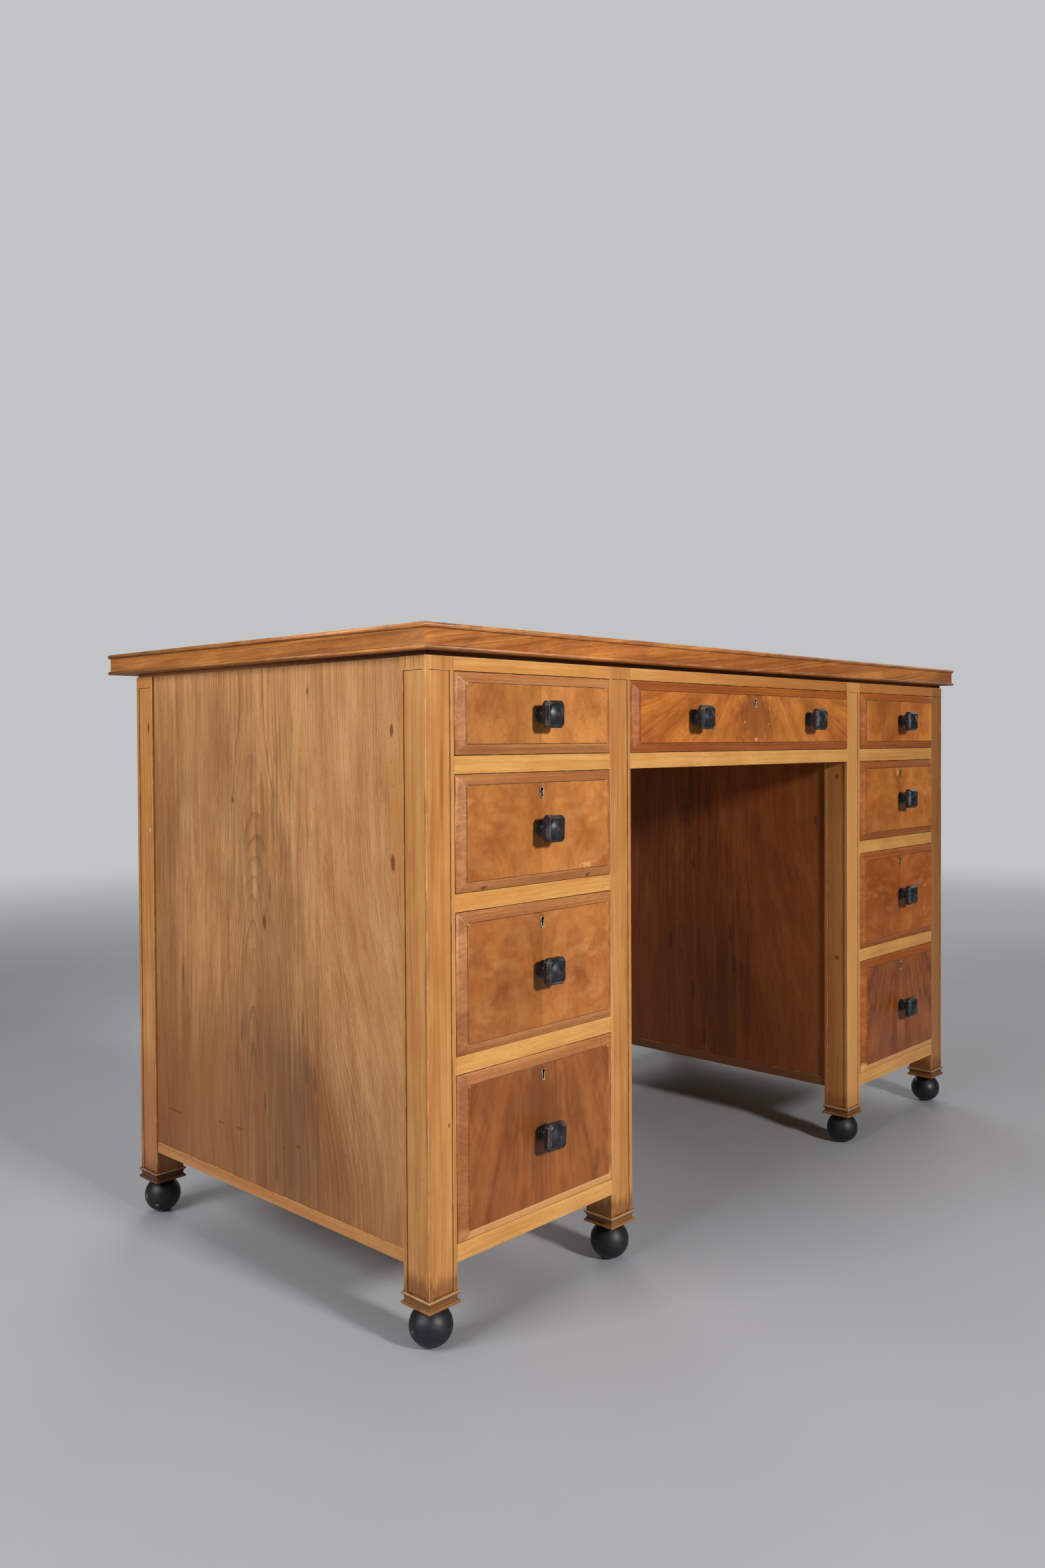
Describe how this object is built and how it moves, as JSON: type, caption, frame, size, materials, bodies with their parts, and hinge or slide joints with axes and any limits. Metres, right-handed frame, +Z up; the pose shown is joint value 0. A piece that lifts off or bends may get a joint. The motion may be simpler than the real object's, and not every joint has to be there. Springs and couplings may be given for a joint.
{
  "type": "pedestal desk",
  "caption": "Walnut pedestal desk with graduated drawers either side of an open kneehole, a shallow centre drawer, square posts on ball feet and a moulded overhanging top.",
  "frame": {"origin": "centre of the whole desk's footprint box, on the floor, with the knobs and the top's overhang counted", "axes": "+X runs to the right along the front, +Y runs from the drawer fronts to the back, +Z is up"},
  "size_m": [1.268, 0.6794, 0.7722],
  "materials": {
    "walnut_panel": "satin lacquer",
    "walnut_front": "satin lacquer",
    "honey_walnut": "satin lacquer",
    "secondary_oak": "raw",
    "ebonised_wood": "black, half worn",
    "brass": "aged",
    "steel": "dull"
  },
  "bodies": {
    "carcass": {"top_board": "walnut_panel", "top_edging": "honey_walnut", "top_spacers": "ebonised_wood", "top_screws": "steel", "front_posts": "honey_walnut", "back_posts": "honey_walnut", "foot_collars": "honey_walnut", "ball_feet": "ebonised_wood", "front_rails": "honey_walnut", "back_rails": "honey_walnut", "side_rails": "honey_walnut", "left_outer_panel": "walnut_panel", "right_outer_panel": "walnut_panel", "kneehole_panels": "walnut_panel", "back_panels": "walnut_panel", "bottom_boards": "secondary_oak", "drawer_runners": "secondary_oak", "drawer_guides": "secondary_oak", "drawer_stops": "secondary_oak"},
    "left_drawer_1": {"left_drawer_1_front": "walnut_front", "left_drawer_1_box": "secondary_oak", "left_drawer_1_knob": "ebonised_wood"},
    "left_drawer_2": {"left_drawer_2_front": "walnut_front", "left_drawer_2_box": "secondary_oak", "left_drawer_2_knob": "ebonised_wood", "left_drawer_2_lock": "brass"},
    "left_drawer_3": {"left_drawer_3_front": "walnut_front", "left_drawer_3_box": "secondary_oak", "left_drawer_3_knob": "ebonised_wood", "left_drawer_3_lock": "brass"},
    "left_drawer_4": {"left_drawer_4_front": "walnut_front", "left_drawer_4_box": "secondary_oak", "left_drawer_4_knob": "ebonised_wood", "left_drawer_4_lock": "brass"},
    "right_drawer_1": {"right_drawer_1_front": "walnut_front", "right_drawer_1_box": "secondary_oak", "right_drawer_1_knob": "ebonised_wood"},
    "right_drawer_2": {"right_drawer_2_front": "walnut_front", "right_drawer_2_box": "secondary_oak", "right_drawer_2_knob": "ebonised_wood", "right_drawer_2_lock": "brass"},
    "right_drawer_3": {"right_drawer_3_front": "walnut_front", "right_drawer_3_box": "secondary_oak", "right_drawer_3_knob": "ebonised_wood", "right_drawer_3_lock": "brass"},
    "right_drawer_4": {"right_drawer_4_front": "walnut_front", "right_drawer_4_box": "secondary_oak", "right_drawer_4_knob": "ebonised_wood", "right_drawer_4_lock": "brass"},
    "centre_drawer": {"centre_drawer_front": "walnut_front", "centre_drawer_box": "secondary_oak", "centre_drawer_knob": "ebonised_wood", "centre_drawer_lock": "brass"},
    "left_drawer_2_bolt": {"left_drawer_2_lock_bolt": "steel"},
    "left_drawer_3_bolt": {"left_drawer_3_lock_bolt": "steel"},
    "left_drawer_4_bolt": {"left_drawer_4_lock_bolt": "steel"},
    "right_drawer_2_bolt": {"right_drawer_2_lock_bolt": "steel"},
    "right_drawer_3_bolt": {"right_drawer_3_lock_bolt": "steel"},
    "right_drawer_4_bolt": {"right_drawer_4_lock_bolt": "steel"},
    "centre_drawer_bolt": {"centre_drawer_lock_bolt": "steel"}
  },
  "joints": [
    {"name": "left_drawer_1_slide", "type": "slide", "parent": "carcass", "child": "left_drawer_1", "axis": [0, -1, 0], "range_m": [0, 0.38]},
    {"name": "left_drawer_2_slide", "type": "slide", "parent": "carcass", "child": "left_drawer_2", "axis": [0, -1, 0], "range_m": [0, 0.38]},
    {"name": "left_drawer_3_slide", "type": "slide", "parent": "carcass", "child": "left_drawer_3", "axis": [0, -1, 0], "range_m": [0, 0.38]},
    {"name": "left_drawer_4_slide", "type": "slide", "parent": "carcass", "child": "left_drawer_4", "axis": [0, -1, 0], "range_m": [0, 0.38]},
    {"name": "right_drawer_1_slide", "type": "slide", "parent": "carcass", "child": "right_drawer_1", "axis": [0, -1, 0], "range_m": [0, 0.38]},
    {"name": "right_drawer_2_slide", "type": "slide", "parent": "carcass", "child": "right_drawer_2", "axis": [0, -1, 0], "range_m": [0, 0.38]},
    {"name": "right_drawer_3_slide", "type": "slide", "parent": "carcass", "child": "right_drawer_3", "axis": [0, -1, 0], "range_m": [0, 0.38]},
    {"name": "right_drawer_4_slide", "type": "slide", "parent": "carcass", "child": "right_drawer_4", "axis": [0, -1, 0], "range_m": [0, 0.38]},
    {"name": "centre_drawer_slide", "type": "slide", "parent": "carcass", "child": "centre_drawer", "axis": [0, -1, 0], "range_m": [0, 0.38]},
    {"name": "left_drawer_2_bolt_slide", "type": "slide", "parent": "left_drawer_2", "child": "left_drawer_2_bolt", "axis": [0, 0, 1], "range_m": [0, 0.006]},
    {"name": "left_drawer_3_bolt_slide", "type": "slide", "parent": "left_drawer_3", "child": "left_drawer_3_bolt", "axis": [0, 0, 1], "range_m": [0, 0.006]},
    {"name": "left_drawer_4_bolt_slide", "type": "slide", "parent": "left_drawer_4", "child": "left_drawer_4_bolt", "axis": [0, 0, 1], "range_m": [0, 0.006]},
    {"name": "right_drawer_2_bolt_slide", "type": "slide", "parent": "right_drawer_2", "child": "right_drawer_2_bolt", "axis": [0, 0, 1], "range_m": [0, 0.006]},
    {"name": "right_drawer_3_bolt_slide", "type": "slide", "parent": "right_drawer_3", "child": "right_drawer_3_bolt", "axis": [0, 0, 1], "range_m": [0, 0.006]},
    {"name": "right_drawer_4_bolt_slide", "type": "slide", "parent": "right_drawer_4", "child": "right_drawer_4_bolt", "axis": [0, 0, 1], "range_m": [0, 0.006]},
    {"name": "centre_drawer_bolt_slide", "type": "slide", "parent": "centre_drawer", "child": "centre_drawer_bolt", "axis": [0, 0, 1], "range_m": [0, 0.006]}
  ]
}
